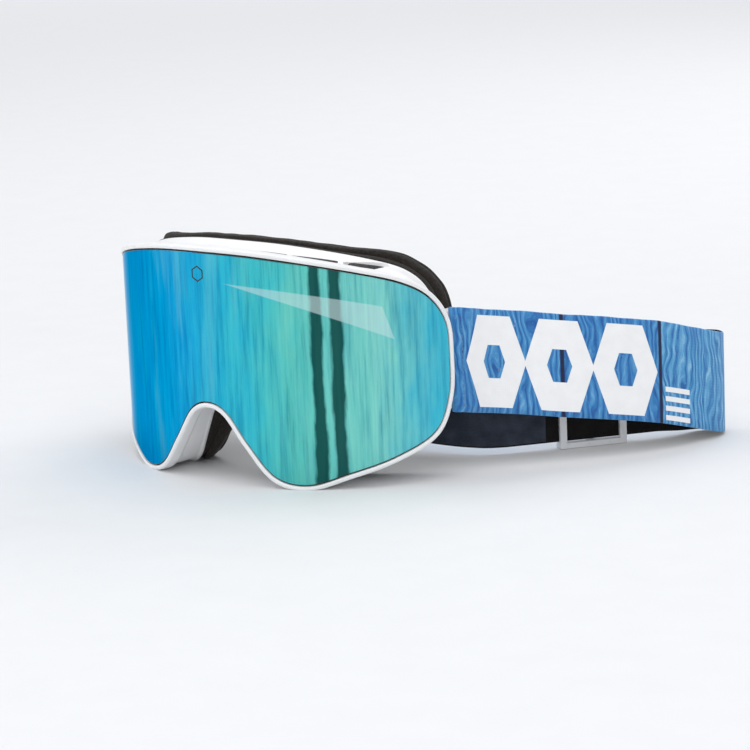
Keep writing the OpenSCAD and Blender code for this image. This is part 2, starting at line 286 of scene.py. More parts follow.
def lens_mirror_paint():
    """Mirror coating: blue on one side turning to green, with painted reflections: upright streaks, pale
    patches, two dark stripes and a pale window wedge.
    """
    paint = Paint("mirror_coating", Metallic=1.0, Roughness=0.12)
    paint.shader.inputs["Specular Tint"].default_value = (0.22, 0.62, 0.85, 1)
    place = paint.attribute("sheet")
    split = paint.add("ShaderNodeSeparateXYZ")
    paint.link(place, split.inputs[0])
    across = split.outputs["X"]
    warp = paint.noise(paint.attribute("sheet", (1, 0.35, 1)), 26, 4)
    shifted = paint.math("ADD", across, paint.math("MULTIPLY", paint.math("SUBTRACT", warp, 0.5), 0.16))
    base = paint.ramp(shifted, [
        (0.02, (0.05, 0.36, 0.62)), (0.15, (0.012, 0.30, 0.60)), (0.42, (0.010, 0.34, 0.66)),
        (0.54, (0.025, 0.46, 0.66)), (0.62, (0.055, 0.52, 0.58)), (0.70, (0.11, 0.55, 0.50)),
        (0.86, (0.19, 0.60, 0.56)), (0.97, (0.05, 0.46, 0.62))])
    # upright streaks: painted reflections of the surroundings, darkening and lightening the coating colour
    streaks = paint.noise(paint.attribute("sheet", (1, 0.05, 1)), 95, 5, 0.6)
    tone = paint.ramp(streaks, [
        (0.30, (0.42, 0.62, 0.72)), (0.5, (1, 1, 1)), (0.68, (1.35, 1.18, 1.1))])
    reflection_streaked = paint.mix(0.9, base, tone, "MULTIPLY")
    # pale patches: painted reflections mixed into the coating colour
    wide = paint.noise(paint.attribute("sheet", (1, 0.12, 1)), 24, 3)
    pale = paint.math("MULTIPLY", paint.ramp(wide, [(0.5, (0, 0, 0)), (0.75, (1, 1, 1))]), 0.30)
    lit = paint.mix(pale, reflection_streaked, (0.26, 0.66, 0.62))
    window = window_reflection_mask(paint, across, split.outputs["Y"])
    wander = paint.math("MULTIPLY", paint.math("SUBTRACT", warp, 0.5), 0.02)
    wandered = paint.math("ADD", across, wander)
    dark = None
    # two dark upright streaks: painted reflections of dark upright shapes
    for middle, half in ((0.739, 0.014), (0.777, 0.015)):
        off = paint.math("ABSOLUTE", paint.math("SUBTRACT", wandered, middle))
        stripe = paint.ramp(paint.math("DIVIDE", off, half), [(0.6, (0.92,) * 3), (1.0, (0, 0, 0))])
        dark = stripe if dark is None else paint.math("MAXIMUM", dark, stripe)
    reflection_striped = paint.mix(dark, lit, (0.002, 0.055, 0.05))
    # painted reflection: the pale window wedge lightens the coating colour
    glare = paint.math("MULTIPLY", window, 0.42)
    paint.set("Base Color", paint.mix(glare, reflection_striped, (0.62, 0.80, 0.80)))
    paint.set("Roughness", paint.ramp(streaks, [(0.3, (0.10,) * 3), (0.7, (0.16,) * 3)]))
    paint.bump(paint.noise(paint.attribute("sheet", (1, 0.3, 1)), 14, 2), 0.12, 0.0006)
    return paint.material


# Boards along the strap, in metres; the first one is wider than the others
BOARD_START, BOARD_W = 0.0033, 0.0447
FIRST_BOARD_END, FIRST_BOARD_STRETCH = 0.048, 0.157


def strap_print_paint():
    """Elastic printed with painted blue boards: upright grain, knots and dark gaps."""
    paint = Paint("strap_boards", Roughness=0.72, Sheen_Weight=0.25, Sheen_Roughness=0.4)
    cloth = paint.attribute("cloth")
    split = paint.add("ShaderNodeSeparateXYZ")
    paint.link(cloth, split.inputs[0])
    along = split.outputs["X"]
    early = paint.math("MAXIMUM", paint.math("SUBTRACT", FIRST_BOARD_END, along), 0.0)
    spread = paint.math("ADD", along, paint.math("MULTIPLY", early, FIRST_BOARD_STRETCH))
    board = paint.math("DIVIDE", paint.math("SUBTRACT", spread, BOARD_START), BOARD_W)
    number = paint.math("FLOOR", board)
    inside = paint.math("FRACT", board)
    # grain lines run up the boards and bend around knots
    warp = paint.noise(paint.attribute("cloth", (1, 0.5, 1)), 70, 2)
    shift = paint.math("ADD", along, paint.math("MULTIPLY", warp, 0.016))
    shift = paint.math("ADD", shift, paint.math("MULTIPLY", number, 0.37))
    joined = paint.add("ShaderNodeCombineXYZ")
    paint.link(shift, joined.inputs[0])
    paint.link(paint.math("MULTIPLY", split.outputs["Y"], 0.09), joined.inputs[1])
    fine = paint.noise(joined.outputs[0], 1500, 4, 0.6)
    rings = paint.add("ShaderNodeTexWave", wave_type="BANDS", bands_direction="X")
    rings.inputs["Scale"].default_value = 105
    rings.inputs["Distortion"].default_value = 5.5
    rings.inputs["Detail"].default_value = 3
    rings.inputs["Detail Scale"].default_value = 1.2
    paint.link(joined.outputs[0], rings.inputs["Vector"])
    ring_share = paint.math("MULTIPLY", rings.outputs["Fac"], 0.28)
    grain = paint.math("ADD", paint.math("MULTIPLY", fine, 0.72), ring_share)
    wood = paint.ramp(grain, [
        (0.28, (0.012, 0.11, 0.38)), (0.45, (0.045, 0.25, 0.55)),
        (0.60, (0.10, 0.35, 0.64)), (0.78, (0.30, 0.57, 0.80))])
    # each board has its own tone, and the first two, next to the frame, are darkened: painted shade
    tone_spot = paint.add("ShaderNodeTexWhiteNoise", noise_dimensions="1D")
    paint.link(number, tone_spot.inputs["W"])
    tone = paint.ramp(tone_spot.outputs["Value"], [(0.0, (0.80, 0.88, 0.94)), (1.0, (1.08, 1.04, 1.0))])
    shade = paint.ramp(paint.math("MULTIPLY", along, 5.0), [
        (0.0, (0.60, 0.78, 0.88)), (0.455, (0.66, 0.82, 0.90)), (0.475, (1.0, 1.0, 0.98))])
    toned = paint.mix(1.0, paint.mix(1.0, wood, tone, "MULTIPLY"), shade, "MULTIPLY")
    # knots: dark eyes that fade outwards
    knots = paint.add("ShaderNodeTexVoronoi")
    knots.inputs["Scale"].default_value = 26
    paint.link(paint.attribute("cloth", (1, 0.75, 1)), knots.inputs["Vector"])
    eye = paint.ramp(knots.outputs["Distance"], [
        (0.03, (1, 1, 1)), (0.12, (0.25,) * 3), (0.22, (0, 0, 0))])
    knotted = paint.mix(paint.math("MULTIPLY", eye, 0.55), toned, (0.03, 0.17, 0.46))
    # worn paint: pale flecks
    fleck = paint.ramp(paint.noise(paint.attribute("cloth", (1, 0.4, 1)), 420, 6, 0.75), [
        (0.60, (0, 0, 0)), (0.74, (1, 1, 1))])
    flecked = paint.mix(paint.math("MULTIPLY", fleck, 0.4), knotted, (0.52, 0.74, 0.90))
    # dark gaps between the boards
    edge = paint.math("MINIMUM", inside, paint.math("SUBTRACT", 1.0, inside))
    gap = paint.ramp(edge, [(0.0, (1, 1, 1)), (0.014, (1, 1, 1)), (0.022, (0, 0, 0))])
    paint.set("Base Color", paint.mix(gap, flecked, (0.002, 0.008, 0.05)))
    knit_bump(paint)
    return paint.material


def knit_bump(paint, strength=0.55):
    """The fine ribs of woven elastic, along and across the band."""
    ribs = paint.add("ShaderNodeTexWave", wave_type="BANDS", bands_direction="X")
    ribs.inputs["Scale"].default_value = 330
    ribs.inputs["Distortion"].default_value = 0.4
    paint.link(paint.attribute("cloth"), ribs.inputs["Vector"])
    rows = paint.add("ShaderNodeTexWave", wave_type="BANDS", bands_direction="Y")
    rows.inputs["Scale"].default_value = 260
    rows.inputs["Distortion"].default_value = 0.4
    paint.link(paint.attribute("cloth"), rows.inputs["Vector"])
    height = paint.math("MULTIPLY", ribs.outputs["Fac"], rows.outputs["Fac"])
    paint.bump(height, strength, 0.00012)


def strap_inner_paint(name, dark, light):
    """The dark ribbed inner side of the elastic."""
    paint = Paint(name, Roughness=0.95, Sheen_Weight=0.05, Sheen_Roughness=0.5)
    paint.shader.inputs["Specular IOR Level"].default_value = 0.25
    slow = paint.noise(paint.attribute("cloth"), 120, 4)
    paint.set("Base Color", paint.ramp(slow, [(0.3, dark), (0.75, light)]))
    knit_bump(paint, 0.8)
    return paint.material


def film_paint(name, colour):
    """Transfer print: a smooth rubbery film that takes a little of the weave."""
    paint = Paint(name, Roughness=0.5)
    cloud = paint.noise(paint.attribute("cloth"), 160, 4)
    paint.set("Base Color", paint.ramp(cloud, [(0.3, tuple(c * 0.95 for c in colour)), (0.7, colour)]))
    knit_bump(paint, 0.25)
    return paint.material


def clear_paint(name):
    """Clear pane with a faint haze."""
    paint = Paint(name, Roughness=0.22, Transmission_Weight=0.85, IOR=1.5)
    haze = paint.noise(paint.position(), 30, 3)
    paint.set("Base Color", paint.ramp(haze, [(0.3, (0.30, 0.34, 0.36)), (0.7, (0.36, 0.40, 0.42))]))
    return paint.material


WHITE = moulded("frame_soft_white", (0.86, 0.86, 0.86), 0.38)
BRACKET_WHITE = moulded("bracket_plastic", (0.80, 0.80, 0.80), 0.42)
SLIDER_WHITE = moulded("slider_plastic", (0.80, 0.81, 0.83), 0.3)
CARRIER_BLACK = moulded("carrier_plastic", (0.03, 0.022, 0.02), 0.45)
CLIP_DARK = moulded("clip_plastic", (0.02, 0.03, 0.06), 0.42)
FOAM_FIRM = foam_paint("foam_firm", (0.007, 0.0055, 0.0045), (0.028, 0.022, 0.018), 1100, 0.06)
FOAM_SOFT = foam_paint("foam_soft", (0.006, 0.0045, 0.0035), (0.022, 0.017, 0.013), 800, 0.08)
FLEECE = foam_paint("fleece_brushed", (0.005, 0.004, 0.0035), (0.026, 0.021, 0.017), 1500, 0.18)
VENT_FOAM = foam_paint("vent_filter", (0.006, 0.006, 0.006), (0.03, 0.03, 0.03), 420, 0.1)
STEEL = metal_paint("steel_drawn", (0.62, 0.62, 0.64))
NICKEL = metal_paint("magnet_nickel", (0.66, 0.65, 0.62))
MIRROR = lens_mirror_paint()
BACK_TINT = moulded("lens_back_tint", (0.05, 0.045, 0.05), 0.15, 500, 0.00001)
EDGE_DARK = moulded("lens_edge", (0.02, 0.012, 0.01), 0.3)
CLEAR = clear_paint("inner_pane")
BOARDS = strap_print_paint()
INNER_BLACK = strap_inner_paint("strap_inner_black", (0.004, 0.003, 0.003), (0.012, 0.010, 0.010))
# painted shade: the tail's blue printed face, coloured the dark navy it shows in shadow
TAIL_SHADED_BLUE = strap_inner_paint("strap_tail_painted_shade", (0.020, 0.026, 0.04), (0.05, 0.062, 0.09))
FILM = film_paint("print_film_white", (0.92, 0.92, 0.92))
THREAD = film_paint("thread_blue", (0.10, 0.22, 0.42))


# ---------------------------------------------------------------- mesh helpers
def new_piece(name, points, faces, materials, choose=None, smooth=True, sharp=40):
    """A mesh object from points in millimetres; choose(polygon) picks its material."""
    mesh = bpy.data.meshes.new(name)
    mesh.from_pydata([tuple(metres(p)) for p in points], [], faces)
    mesh.validate()
    for material in materials:
        mesh.materials.append(material)
    bm = bmesh.new()
    bm.from_mesh(mesh)
    bmesh.ops.recalc_face_normals(bm, faces=bm.faces)
    bm.to_mesh(mesh)
    bm.free()
    if choose:
        for polygon in mesh.polygons:
            polygon.material_index = choose(polygon)
    if smooth:
        mesh.shade_smooth()
        mesh.set_sharp_from_angle(angle=math.radians(sharp))
    piece = bpy.data.objects.new(name, mesh)
    bpy.context.scene.collection.objects.link(piece)
    return piece


def put_attribute(piece, name, values):
    layer = piece.data.attributes.new(name, "FLOAT_VECTOR", "POINT")
    layer.data.foreach_set("vector", [c for v in values for c in v])


def apply_modifiers(piece):
    """Puts the result of the piece's modifiers in its mesh."""
    bpy.context.view_layer.update()
    done = bpy.data.meshes.new_from_object(piece.evaluated_get(bpy.context.evaluated_depsgraph_get()))
    piece.modifiers.clear()
    old = piece.data
    piece.data = done
    done.name = old.name


def band_faces(rings, around):
    """Quads of a closed band, with ring after ring of points."""
    faces = []
    for i in range(rings):
        for j in range(around):
            a, b = i * around + j, i * around + (j + 1) % around
            c, d = ((i + 1) % rings) * around + (j + 1) % around, ((i + 1) % rings) * around + j
            faces.append((a, b, c, d))
    return faces


def strip_faces(rings, around):
    """Quads of an open strip, with a cap at each end."""
    faces = []
    for i in range(rings - 1):
        for j in range(around):
            a, b = i * around + j, i * around + (j + 1) % around
            faces.append((a, b, b + around, a + around))
    faces.append(tuple(range(around))[::-1])
    faces.append(tuple((rings - 1) * around + j for j in range(around)))
    return faces


def catmull(a, b, c, d, t):
    """A point at share t between b and c on a smooth curve past a, b, c and d."""
    return tuple(
        0.5 * (2 * q + (r - p) * t + (2 * p - 5 * q + 4 * r - s) * t * t + (3 * q - p - 3 * r + s) * t ** 3)
        for p, q, r, s in zip(a, b, c, d))


# ---------------------------------------------------------------- outlines of the lens and the face
# One half of the lens outline, as (distance around the lens, height), from the top down.
HALF_OUTLINE = [
    (0, 97.6), (23, 96.8), (46, 93.9), (68, 89.6), (86, 84.6), (98, 77.5), (105, 66.5),
    (106.2, 52), (105.4, 36), (99, 21.5), (82, 12.6), (62, 6.4), (45, 1.8), (31, 5),
    (19.5, 18), (9.5, 31), (0, 34.6)]
STEPS = 8


def closed_outline():
    corners = HALF_OUTLINE + [(-s, z) for s, z in HALF_OUTLINE[-2:0:-1]]
    n = len(corners)
    return [
        catmull(corners[i - 1], corners[i], corners[(i + 1) % n], corners[(i + 2) % n], k / STEPS)
        for i in range(n) for k in range(STEPS)]


OUTLINE = closed_outline()
COUNT = len(OUTLINE)


def normal_of(points, i):
    """The outward direction at a point of a closed outline."""
    a, b = points[(i + 1) % len(points)], points[i - 1]
    d = Vector((a[0] - b[0], a[1] - b[1])).normalized()
    return (-d.y, d.x)


LENS_NORMALS = [normal_of(OUTLINE, i) for i in range(COUNT)]


def cylinder_point(s, z, deep):
    """A point at a distance around the lens and a depth behind its front."""
    turn = s / LENS_R
    r = LENS_R - deep
    return (r * math.sin(turn), LENS_R - r * math.cos(turn), max(0.0, z))


def lens_point(i, by, deep):
    """A point outside the lens outline by a distance, at a depth behind the lens front."""
    s, z = OUTLINE[i % COUNT]
    n = LENS_NORMALS[i % COUNT]
    return cylinder_point(s + by * n[0], z + by * n[1], deep)


def upper_share(z):
    """0 in the lower half of the frame, rising to 1 at the brow."""
    return min(1, max(0, (z - 55) / 30))


def rear_outline():
    """The outline of the rear edge, as (x, z), raised towards the ends of the brow."""
    rear = []
    for s, z in OUTLINE:
        x = LENS_R * math.sin(s / LENS_R) * REAR_RATIO
        rear.append((x, z + upper_share(z) * (BROW_ARCH * (x / REAR_HALF_W) ** 2 - BROW_DIP)))
    return rear


REAR = rear_outline()
REAR_NORMALS = [normal_of(REAR, i) for i in range(COUNT)]


def face_y(x):
    """Where the curve of the face lies."""
    return FRAME_DEPTH + FACE_R - math.sqrt(FACE_R ** 2 - x * x)


def face_point(i, by, ahead):
    """A point outside the rear outline by a distance, ahead of the curve of the face."""
    x, z = REAR[i % COUNT]
    n = REAR_NORMALS[i % COUNT]
    x, z = x + by * n[0], z + by * n[1]
    return (x, face_y(x) - ahead, max(0.0, z))


def nose_share(i):
    """1 in the middle of the nose arch, falling to 0 on both sides of it."""
    off = min(1.0, abs(i % COUNT - COUNT // 2) / (NOTCH_STEPS * STEPS / 4))
    return math.cos(math.pi / 2 * off) ** 1.5


def notched(i, by, ahead):
    """A face point that steps forward over the nose, as the rear edge of the frame does."""
    return face_point(i, by, ahead + NOSE_NOTCH * nose_share(i))


def brow(i):
    """How far the foam stands out along the brow, with a pad on each side."""
    off = min(i % COUNT, COUNT - i % COUNT) * 4 / STEPS
    pad = math.exp(-((off - PAD_STEP) / PAD_SPREAD) ** 2)
    return upper_share(REAR[i % COUNT][1]) * (BROW_RISE + BROW_PADS * pad)


def waist(i):
    """How far the wall draws in between the rim and the rear edge; nothing at the nose."""
    side = abs(lens_point(i, 0, 0)[0]) / WAIST_HALF_W
    return WAIST_DEEP * (1 - side ** 4) * (1 - nose_share(i)) ** 3


# ---------------------------------------------------------------- lens
def edge_tables():
    """Upper and lower edge of the lens as (distance, height) tables."""
    widest = max(range(COUNT // 2), key=lambda i: OUTLINE[i][0])
    return OUTLINE[:widest + 1], OUTLINE[widest:COUNT // 2 + 1][::-1]


UPPER, LOWER = edge_tables()
REACH = UPPER[-1][0] * 0.9995
SHEET_HALF = 107


def height_at(table, s):
    """The height of a lens edge at a distance around the lens."""
    for (s0, z0), (s1, z1) in zip(table, table[1:]):
        if s0 <= s <= s1:
            return z0 + (z1 - z0) * (s - s0) / max(1e-6, s1 - s0)
    return table[-1][1]


def build_lens(slices=110, rows=22, thick=1.8, round_off=0.35):
    """The mirror pane, in upright columns that go around its section once."""
    points, sheet = [], []
    # extra rows next to the rounded edges keep the shading of the faces even
    shares = [0, 0.004] + [r / (rows - 2) for r in range(1, rows - 2)] + [0.996, 1]
    for k in range(-slices, slices + 1):
        s = REACH * math.sin(math.pi / 2 * k / slices)
        top, low = height_at(UPPER, abs(s)), height_at(LOWER, abs(s))
        soft = min(round_off, (top - low) * 0.3)
        flat, corner = top - low - 2 * soft, soft * 0.3
        column = [(low + soft + flat * share, 0.0) for share in shares]
        column += [(top - corner, corner), (top, soft), (top, thick - soft), (top - corner, thick - corner)]
        column += [(top - soft - flat * share, thick) for share in shares]
        column += [(low + corner, thick - corner), (low, thick - soft), (low, soft), (low + corner, corner)]
        side = 0.25 if abs(k) == slices else 0.0
        for z, deep in column:
            points.append(cylinder_point(s, z, deep * (1 - side) + thick / 2 * side))
            sheet.append(((s + SHEET_HALF) / (2 * SHEET_HALF), z / (2 * SHEET_HALF), 0))
    around = 2 * (rows + 1) + 8
    faces = strip_faces(2 * slices + 1, around)

    def side_of(polygon):
        j = polygon.index % around
        if polygon.index >= 2 * slices * around:
            return 2
        return 0 if j < rows else (1 if rows + 4 < j < 2 * rows + 5 else 2)

    lens = new_piece("mirror_lens", points, faces, (MIRROR, BACK_TINT, EDGE_DARK), side_of, sharp=50)
    put_attribute(lens, "sheet", sheet)
    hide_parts("outer_lens")
    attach(lens, "lens_unit")


def build_lens_mark(centre=(-2.0, 88.5), size=3.4, stroke=0.55):
    """A small plain six-sided outline printed near the top of the lens."""
    points = []
    corners = 6
    inner = size - stroke
    for k in range(corners):
        turn = math.pi / 2 + k * 2 * math.pi / corners
        for radius, deep in ((size, -0.03), (size, -0.09), (inner, -0.09), (inner, -0.03)):
            s = centre[0] + radius * math.cos(turn)
            z = centre[1] + radius * math.sin(turn)
            points.append(cylinder_point(s, z, deep))
    mark = new_piece("lens_hexagon_mark", points, band_faces(corners, 4), (EDGE_DARK,), smooth=False)
    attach(mark, "lens_unit")


build_lens()
build_lens_mark()


# ---------------------------------------------------------------- frame
def soften(corners, radius):
    """Cuts each corner of a closed section into a short curve."""
    out = []
    n = len(corners)
    for j in range(n):
        here = Vector(corners[j])
        before, after = Vector(corners[j - 1]) - here, Vector(corners[(j + 1) % n]) - here
        a = here + before.normalized() * min(radius, before.length * 0.35)
        b = here + after.normalized() * min(radius, after.length * 0.35)
        out += [a, a * 0.25 + here * 0.5 + b * 0.25, b]
    return out


def frame_section(i):
    """The section of the frame: rim, outer wall, rear edge and inner wall."""
    w = waist(i)
    lip = 2 - 0.4 * nose_share(i)
    return [
        lens_point(i, 0.35, -LIP), lens_point(i, RIM_W - 0.5, -LIP), lens_point(i, RIM_W, 0),
        lens_point(i, RIM_W, 4.6), lens_point(i, RIM_W - 0.5 - w, 5.6 + w),
        notched(i, 1.5 - w, 2 + 2 * w), notched(i, lip, 1.6), notched(i, lip, 0.4), notched(i, 1.6, 0),
        notched(i, -9, 0), notched(i, -9, 1.8), notched(i, -1.5 - w, 2.6 + w),
        lens_point(i, -5.6, 9.1), lens_point(i, -5.6, 6.7), lens_point(i, 0.35, 6.7)]


# Vent slots as (turn about the lens axis, height, length, width), and their depth behind the lens.
TOP_VENT_L = 19
TOP_VENTS = [(turn, 95, TOP_VENT_L, 4.6) for turn in (-44, -29.5, -15, 15, 29.5, 44)]
LOW_VENTS = [(turn, 7, 9, 2.6) for turn in (-46, -38, 38, 46)]
VENT_AHEAD = 12.5
VENT_CUT = 12


def vent_cutters():
    """Rounded slots that cut the frame in the places of its vents."""
    bm = bmesh.new()
    for turn, z, length, width in TOP_VENTS + LOW_VENTS:
        made = bmesh.ops.create_cube(bm, size=1)
        place = Matrix.Translation(metres((0, LENS_R, z))) @ Matrix.Rotation(math.radians(turn), 4, "Z")
        place = place @ Matrix.Translation((0, (VENT_AHEAD - LENS_R) * MM, 0))
        place = place @ Matrix.Diagonal((length * MM, width * MM, VENT_CUT * MM, 1))
        bmesh.ops.transform(bm, matrix=place, verts=made["verts"])
    upright = [e for e in bm.edges if abs((e.verts[0].co - e.verts[1].co).normalized().z) > 0.9]
    bmesh.ops.bevel(bm, geom=upright, offset=1.1 * MM, segments=4, affect="EDGES", profile=0.5)
    mesh = bpy.data.meshes.new("vent_cutters")
    bm.to_mesh(mesh)
    bm.free()
    return mesh


def build_frame():
    sections = [soften(frame_section(i), 0.8) for i in range(COUNT)]
    around = len(sections[0])
    points = [p for section in sections for p in section]
    shell = new_piece("frame_shell", points, band_faces(COUNT, around), (WHITE,), smooth=False)
    cutter = bpy.data.objects.new("cutter", vent_cutters())
    bpy.context.scene.collection.objects.link(cutter)
    cut = shell.modifiers.new("vents", "BOOLEAN")
    cut.operation = "DIFFERENCE"
    cut.object = cutter
    cut.solver = "EXACT"
    apply_modifiers(shell)
    bpy.data.objects.remove(cutter)
    shell.data.shade_smooth()
    shell.data.set_sharp_from_angle(angle=math.radians(38))
    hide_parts("main_frame")
    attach(shell, "root")


build_frame()

# Steps of the outline on each side of its top middle that the vents can lie in.
TOP_REACH = STEPS * 7
# Section of the foam pad in a slot, as (distance from the slot's middle, depth below the wall).
PAD_SECTION = [(-2.2, 0.2), (-1.0, 0.05), (1.0, 0.0), (2.25, 0.05), (2.25, 3.4), (-2.2, 3.4)]


def wall_ends(i, sink):
    """Both ends of the straight part of the frame's outer wall, sunk by a distance."""
    w = waist(i)
    return (
        Vector(lens_point(i, RIM_W - 0.5 - w - sink, 5.6 + w)), Vector(notched(i, 1.5 - w - sink, 2 + 2 * w)))


def top_surface(turn, deep, sink):
    """A point sunk below the top wall of the frame, at a turn about the lens axis."""
    reach = LENS_R * math.radians(turn)
    around = [OUTLINE[k % COUNT][0] for k in range(-TOP_REACH, TOP_REACH + 1)]
    i = next(k for k in range(2 * TOP_REACH) if around[k] <= reach < around[k + 1])
    share = (reach - around[i]) / (around[i + 1] - around[i])
    before, after = (wall_ends(k - TOP_REACH, sink) for k in (i, i + 1))
    a, b = (before[end].lerp(after[end], share) for end in (0, 1))
    near, far = (LENS_R - math.hypot(p.x, LENS_R - p.y) for p in (a, b))
    return a.lerp(b, (deep - near) / (far - near))


def build_vent_filter(last=34, by=-8.4, thick=0.8, near=9.8, far=15, parts=6):
    """Dark open foam: a strip inside the top wall, with a low pad standing in each slot."""
    points = []
    for k in range(-last, last + 1):
        points += [
            lens_point(k, by, near), lens_point(k, by, far),
            lens_point(k, by - thick, far), lens_point(k, by - thick, near)]
    faces = strip_faces(2 * last + 1, 4)
    half = math.degrees((TOP_VENT_L / 2 - 0.1) / (LENS_R - VENT_AHEAD))
    for turn, *_ in TOP_VENTS:
        base = len(points)
        for k in range(-parts, parts + 1):
            share = k / parts
            end = 1 - 0.5 * max(0.0, abs(share) - 0.9) / 0.1
            for deep, sink in PAD_SECTION:
                points.append(top_surface(turn + share * half, VENT_AHEAD + deep * end, sink))
        pad = strip_faces(2 * parts + 1, len(PAD_SECTION))
        faces += [tuple(v + base for v in f) for f in pad]
    piece = new_piece("vent_filter_top", points, faces, (VENT_FOAM,), sharp=50)
    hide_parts("vent_foam_top")
    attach(piece, "root")


build_vent_filter()


# ---------------------------------------------------------------- face foam
# Points around one section of a foam ring
FOAM_AROUND = 28


def foam_section(i, outer, inner, near, far, soft, crown):
    """A rounded cushion section in face coordinates, going around once."""
    wide, thick = (outer - inner) / 2, (far - near) / 2
    mid_by, mid_deep = (outer + inner) / 2, (near + far) / 2
    out = []
    for k in range(FOAM_AROUND):
        a = 2 * math.pi * k / FOAM_AROUND
        c, s = math.cos(a), math.sin(a)
        by = mid_by + wide * math.copysign(abs(c) ** soft, c)
        deep = mid_deep + thick * math.copysign(abs(s) ** soft, s) * (1 - crown * abs(c) ** 2)
        out.append(face_point(i, by, -deep))
    return out


def roughen(points, amount, scale):
    """Small even unevenness of soft foam."""
    out = []
    for p in points:
        v = Vector(p)
        out.append(v + noise.noise_vector(v * scale) * amount)
    return [Vector((p.x, p.y, max(0.0, p.z))) for p in out]


def build_foam(name, node, outer, inner, near, far, soft, crown, material, bumpy, rise=1.0, notch=0.0):
    points = []
    for i in range(COUNT):
        edge, front = outer + rise * brow(i), near - notch * NOSE_NOTCH * nose_share(i)
        points += foam_section(i, edge, inner, front, far, soft, crown)
    points = roughen(points, bumpy, 0.16)
    ring = new_piece(name, points, band_faces(COUNT, FOAM_AROUND), (material,), sharp=60)
    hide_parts(node)
    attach(ring, "root")


build_foam(
    "foam_layer_firm", "base_foam", outer=0.9, inner=-10, near=0.1, far=4.7, soft=0.28, crown=0.0,
    material=FOAM_FIRM, bumpy=0.10, rise=0.5, notch=1.0)
build_foam(
    "foam_layer_soft", "middle_foam", outer=1.5, inner=-11, near=4.5, far=9.4, soft=0.36, crown=0.06,
    material=FOAM_SOFT, bumpy=0.22)
build_foam(
    "fleece_layer", "face_fleece", outer=1.2, inner=-11, near=8.9, far=11.4, soft=0.42, crown=0.30,
    material=FLEECE, bumpy=0.28)


def build_nose_flap(steps=26):
    """Soft lip that reaches into the nose arch."""
    middle = COUNT // 2
    points = []
    for k in range(-steps, steps + 1):
        share = math.cos(math.pi / 2 * k / (steps + 2))
        reach = 1.2 + 6.5 * share ** 0.7
        for j in range(16):
            a = 2 * math.pi * j / 16
            c, s = math.cos(a), math.sin(a)
            by = (reach + 0.3) / 2 + (reach - 0.3) / 2 * math.copysign(abs(c) ** 0.5, c)
            deep = 2.3 + 1.5 * math.copysign(abs(s) ** 0.5, s)
            points.append(face_point(middle + k, by, -deep))
    flap = new_piece("nose_lip", points, strip_faces(2 * steps + 1, 16), (FLEECE,), sharp=60)
    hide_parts("nose_flap")
    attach(flap, "root")


build_nose_flap()


# ---------------------------------------------------------------- strap
NEAR_ROUTE = [
    (87.2, 46, 50.5), (88.3, 58.5, 49.3), (91, 73, 46.6), (98.5, 86.5, 44), (110.3, 98.5, 41.6),
    (123.5, 115.5, 38.4), (134.6, 134, 34.4), (140.3, 150.5, 29.6), (142.9, 164, 25.4),
    (142, 174, 23), (136, 179, 22.6), (129.5, 174, 22.9), (126, 164, 23.9)]
STRAIGHT_START = (120.5, 154, 25)
STRAIGHT_DIR = (-0.6, -0.8, 0)
STRAIGHT_L = 58
FAR_ROUTE = [
    (72, 93.5, 25.1), (48, 86.5, 26.3), (20, 84, 29), (-10, 84.5, 32.8), (-40, 87, 37.3),
    (-67, 88.8, 41.6), (-84.6, 81, 45.2), (-89.9, 69.5, 47.8), (-88.3, 58.5, 49.3), (-87, 48, 50.5)]
BAND_STEPS = 14
PIN_X, PIN_Y, PIN_Z = 84.8, 61.0, 49.3
FOLD_R = 3.35


def along_straight(distance):
    return tuple(a + distance * d for a, d in zip(STRAIGHT_START, STRAIGHT_DIR))


def smooth_line(route):
    return [
        catmull(*route[i - 1:i + 3], k / BAND_STEPS)
        for i in range(1, len(route) - 2) for k in range(BAND_STEPS)]


def strap_centre_line():
    """The near, straight and far stretch of the middle of the band, without the folds at its ends."""
    near = smooth_line(NEAR_ROUTE + [STRAIGHT_START, along_straight(10)])
    straight = [along_straight(STRAIGHT_L * k / 24) for k in range(24)]
    far = smooth_line([along_straight(STRAIGHT_L - 10), along_straight(STRAIGHT_L)] + FAR_ROUTE)
    return near, straight, far


def fold(side, steps=9, first=-115, last=-38):
    """Short arc around the front of a pin; side is 1 at the right clip and -1 at the left."""
    arc = []
    for k in range(steps):
        a = math.radians(first + (last - first) * k / (steps - 1))
        arc.append((side * (PIN_X + FOLD_R * math.cos(a)), PIN_Y + FOLD_R * math.sin(a), PIN_Z + 0.2))
    return arc


near_line, straight_line, far_line = strap_centre_line()
right_fold, left_fold = fold(1), fold(-1)[::-1]
# points left out where a fold meets its line
skip = 5
CENTRE = right_fold + near_line[skip:] + straight_line + far_line[:len(far_line) - skip] + left_fold
RIGHT_END = len(right_fold) + 3 * BAND_STEPS - skip
LEFT_END = len(CENTRE) - len(left_fold) - 3 * BAND_STEPS + skip


def arc_lengths(line):
    total, out = 0.0, [0.0]
    for a, b in zip(line, line[1:]):
        total += (Vector(b) - Vector(a)).length
        out.append(total)
    return out


LENGTHS = arc_lengths(CENTRE)
VISIBLE_START = LENGTHS[len(right_fold)] - 5.3


def right_hand(i):
    a, b = Vector(CENTRE[max(0, i - 1)]), Vector(CENTRE[min(len(CENTRE) - 1, i + 1)])
    d = b - a
    return Vector((d.y, -d.x, 0)).normalized()


def band_point(i, height, out):
    """A point of the band: height from its middle line, out from its centre thickness."""
    lean = 0.12 * math.sin(LENGTHS[i] * 0.11) * (height / STRAP_W)
    return Vector(CENTRE[i]) + right_hand(i) * (out + lean) + Vector((0, 0, height))


def edge_wave(i):
    """Slight unevenness of the elastic's edges."""
    return 0.18 * math.sin(LENGTHS[i] * 0.21) + 0.1 * math.sin(LENGTHS[i] * 0.53 + 1)


ROWS = 12
# Share of the thickness by which the middle of the outer face stands out
BAND_CROWN = 0.08


